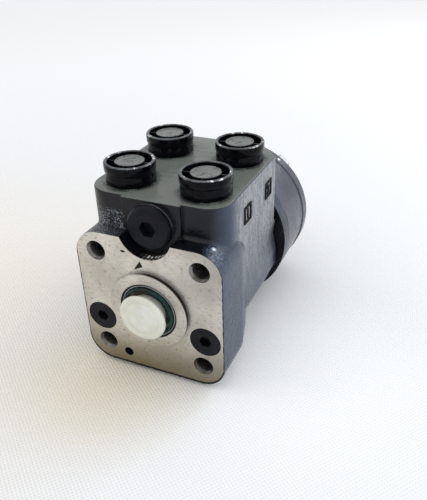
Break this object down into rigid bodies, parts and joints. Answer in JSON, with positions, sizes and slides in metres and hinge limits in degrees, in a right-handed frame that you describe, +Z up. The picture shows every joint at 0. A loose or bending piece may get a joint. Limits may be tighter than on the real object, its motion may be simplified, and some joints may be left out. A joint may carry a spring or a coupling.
{
  "type": "orbital steering unit",
  "caption": "Hydrostatic steering valve: cast block with plugged top ports, square column flange with capped shaft opening, and a round metering gear set at the far end.",
  "frame": {"origin": "centre of the column mounting face, on the shaft axis", "axes": "+Y along the shaft from the column face to the gear set; +Z up, the way the ports open"},
  "size_m": [0.0892, 0.1511, 0.1139],
  "materials": {
    "black_paint": "gloss paint over cast iron; the column face is bare machined iron",
    "zinc_steel": "plated screw steel",
    "soft_steel": "soft sealing washer steel",
    "bright_steel": "ground hardened steel",
    "spring_steel": "spring steel",
    "blued_steel": "black oxide steel",
    "seal_rubber": "nitrile rubber",
    "seal_green": "dark green wiper",
    "black_plastic": "gloss moulded plastic",
    "cream_plastic": "soft translucent plastic"
  },
  "bodies": {
    "unit": {"housing": "black_paint", "distributor_plate": "black_paint", "gear_ring": "black_paint", "end_cover": "black_paint", "end_cover_screws": "zinc_steel", "screw_washers": "soft_steel", "housing_seal": "seal_rubber", "plate_seal": "seal_rubber", "cover_seal": "seal_rubber", "bearing_outer_race": "bright_steel", "shaft_seal": "seal_rubber", "dust_seal": "seal_green", "relief_plug": "blued_steel", "relief_plug_washer": "soft_steel", "relief_adjuster": "bright_steel", "relief_seat": "bright_steel", "relief_spring": "spring_steel", "shock_plug_left": "blued_steel", "shock_plug_right": "blued_steel", "shock_seat_left": "bright_steel", "shock_seat_right": "bright_steel", "shock_spring_left": "spring_steel", "shock_spring_right": "spring_steel", "suction_pin_left": "bright_steel", "suction_pin_right": "bright_steel", "check_bushing": "bright_steel"},
    "sleeve": {"control_sleeve": "bright_steel", "cross_pin": "bright_steel", "centring_springs": "spring_steel", "spring_retaining_ring": "bright_steel", "bearing_inner_race": "bright_steel"},
    "needles": {"needle_cage": "bright_steel"},
    "spool": {"control_spool": "bright_steel"},
    "orbit": {"limiter_disc": "bright_steel"},
    "star": {"gear_star": "bright_steel"},
    "drive": {"drive_shaft": "bright_steel"},
    "cap": {"shaft_cap": "cream_plastic"},
    "check": {"check_ball": "bright_steel"},
    "relief": {"relief_poppet": "bright_steel"},
    "shock_left": {"shock_poppet_left": "bright_steel"},
    "suction_left": {"suction_ball_left": "bright_steel"},
    "shock_right": {"shock_poppet_right": "bright_steel"},
    "suction_right": {"suction_ball_right": "bright_steel"},
    "plug_front_left": {"port_plug_front_left": "black_plastic"},
    "plug_front_right": {"port_plug_front_right": "black_plastic"},
    "plug_rear_left": {"port_plug_rear_left": "black_plastic"},
    "plug_rear_right": {"port_plug_rear_right": "black_plastic"}
  },
  "joints": [
    {"name": "sleeve_turn", "type": "hinge", "parent": "unit", "child": "sleeve", "pos_m": [0, 0, 0], "axis": [0, 1, 0], "continuous": true},
    {"name": "needle_roll", "type": "hinge", "parent": "unit", "child": "needles", "pos_m": [0, 0, 0], "axis": [0, 1, 0], "continuous": true},
    {"name": "spool_twist", "type": "hinge", "parent": "sleeve", "child": "spool", "pos_m": [0, 0, 0], "axis": [0, 1, 0], "range_deg": [-8, 8], "stiffness_Nm_per_rad": 10, "deforming": ["centring_springs"]},
    {"name": "star_orbit", "type": "hinge", "parent": "unit", "child": "orbit", "pos_m": [0, 0, 0], "axis": [0, 1, 0], "continuous": true},
    {"name": "star_spin", "type": "hinge", "parent": "orbit", "child": "star", "pos_m": [0.0028, 0.1166, 0], "axis": [0, 1, 0], "continuous": true},
    {"name": "drive_turn", "type": "hinge", "parent": "orbit", "child": "drive", "pos_m": [0, 0.033, 0], "axis": [0.0335, 0.9994, 0], "continuous": true},
    {"name": "cap_pull", "type": "slide", "parent": "unit", "child": "cap", "axis": [0, -1, 0], "range_m": [0, 0.013]},
    {"name": "check_lift", "type": "slide", "parent": "unit", "child": "check", "axis": [0, 0, 1], "range_m": [0, 0.0021]},
    {"name": "relief_open", "type": "slide", "parent": "unit", "child": "relief", "axis": [0, -1, 0], "range_m": [0, 0.0015], "stiffness_N_per_m": 20000, "springref_m": -0.002, "deforming": ["relief_spring"]},
    {"name": "shock_open_left", "type": "slide", "parent": "unit", "child": "shock_left", "axis": [0, -1, 0], "range_m": [0, 0.0012], "stiffness_N_per_m": 15000, "springref_m": -0.002, "deforming": ["shock_spring_left"]},
    {"name": "suction_open_left", "type": "slide", "parent": "unit", "child": "suction_left", "axis": [0, 1, 0], "range_m": [0, 0.0025]},
    {"name": "shock_open_right", "type": "slide", "parent": "unit", "child": "shock_right", "axis": [0, -1, 0], "range_m": [0, 0.0012], "stiffness_N_per_m": 15000, "springref_m": -0.002, "deforming": ["shock_spring_right"]},
    {"name": "suction_open_right", "type": "slide", "parent": "unit", "child": "suction_right", "axis": [0, 1, 0], "range_m": [0, 0.0025]},
    {"name": "plug_pull_front_left", "type": "slide", "parent": "unit", "child": "plug_front_left", "axis": [0, 0, 1], "range_m": [0, 0.014]},
    {"name": "plug_pull_front_right", "type": "slide", "parent": "unit", "child": "plug_front_right", "axis": [0, 0, 1], "range_m": [0, 0.014]},
    {"name": "plug_pull_rear_left", "type": "slide", "parent": "unit", "child": "plug_rear_left", "axis": [0, 0, 1], "range_m": [0, 0.014]},
    {"name": "plug_pull_rear_right", "type": "slide", "parent": "unit", "child": "plug_rear_right", "axis": [0, 0, 1], "range_m": [0, 0.014]}
  ],
  "couplings": [
    {"joint": "needle_roll", "follows": "sleeve_turn", "ratio": 0.5},
    {"joint": "star_orbit", "follows": "sleeve_turn", "ratio": -6},
    {"joint": "star_spin", "follows": "sleeve_turn", "ratio": 7},
    {"joint": "drive_turn", "follows": "sleeve_turn", "ratio": 7}
  ]
}
